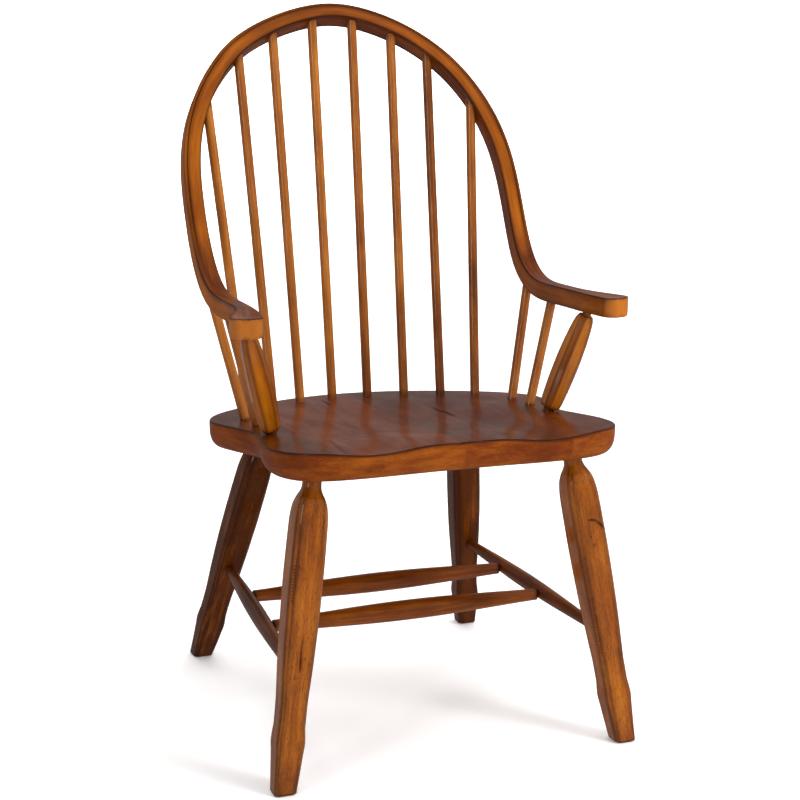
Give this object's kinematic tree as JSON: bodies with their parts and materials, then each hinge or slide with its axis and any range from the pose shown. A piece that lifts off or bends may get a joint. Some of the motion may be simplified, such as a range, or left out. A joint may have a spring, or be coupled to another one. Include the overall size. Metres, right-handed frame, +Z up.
{
  "type": "bow back armchair",
  "caption": "Wooden armchair with a bent bow that forms the back and both arms, a saddled plank seat, turned spindles, chamfered splayed legs and turned stretchers.",
  "frame": {"origin": "middle of the chair's width and length, on the floor", "axes": "+Z up, the chair faces -Y, +X is to the viewer's right when looking at its front"},
  "size_m": [0.6204, 0.6312, 1.0983],
  "materials": {
    "seat_wood": "stained hardwood, red-brown, glossy lacquer",
    "bow_wood": "bent stained hardwood, honey brown, glossy lacquer",
    "spindle_wood": "turned stained hardwood, brown, lacquered",
    "arm_post_wood": "stained hardwood, honey orange, lacquered",
    "leg_wood": "stained hardwood, honey brown, lacquered, with small distress marks",
    "stretcher_wood": "turned stained hardwood, dark red-brown, lacquered"
  },
  "bodies": {
    "root": {"seat": "seat_wood", "bow": "bow_wood", "back_spindle_1": "spindle_wood", "back_spindle_2": "spindle_wood", "back_spindle_3": "spindle_wood", "back_spindle_4": "spindle_wood", "back_spindle_5": "spindle_wood", "back_spindle_6": "spindle_wood", "back_spindle_7": "spindle_wood", "back_spindle_8": "spindle_wood", "arm_spindle_left_front": "spindle_wood", "arm_spindle_left_rear": "spindle_wood", "arm_post_left": "arm_post_wood", "leg_front_left": "leg_wood", "leg_back_left": "leg_wood", "side_stretcher_left": "stretcher_wood", "arm_spindle_right_front": "spindle_wood", "arm_spindle_right_rear": "spindle_wood", "arm_post_right": "arm_post_wood", "leg_front_right": "leg_wood", "leg_back_right": "leg_wood", "side_stretcher_right": "stretcher_wood", "cross_stretcher_front": "stretcher_wood", "cross_stretcher_back": "stretcher_wood"}
  },
  "joints": []
}
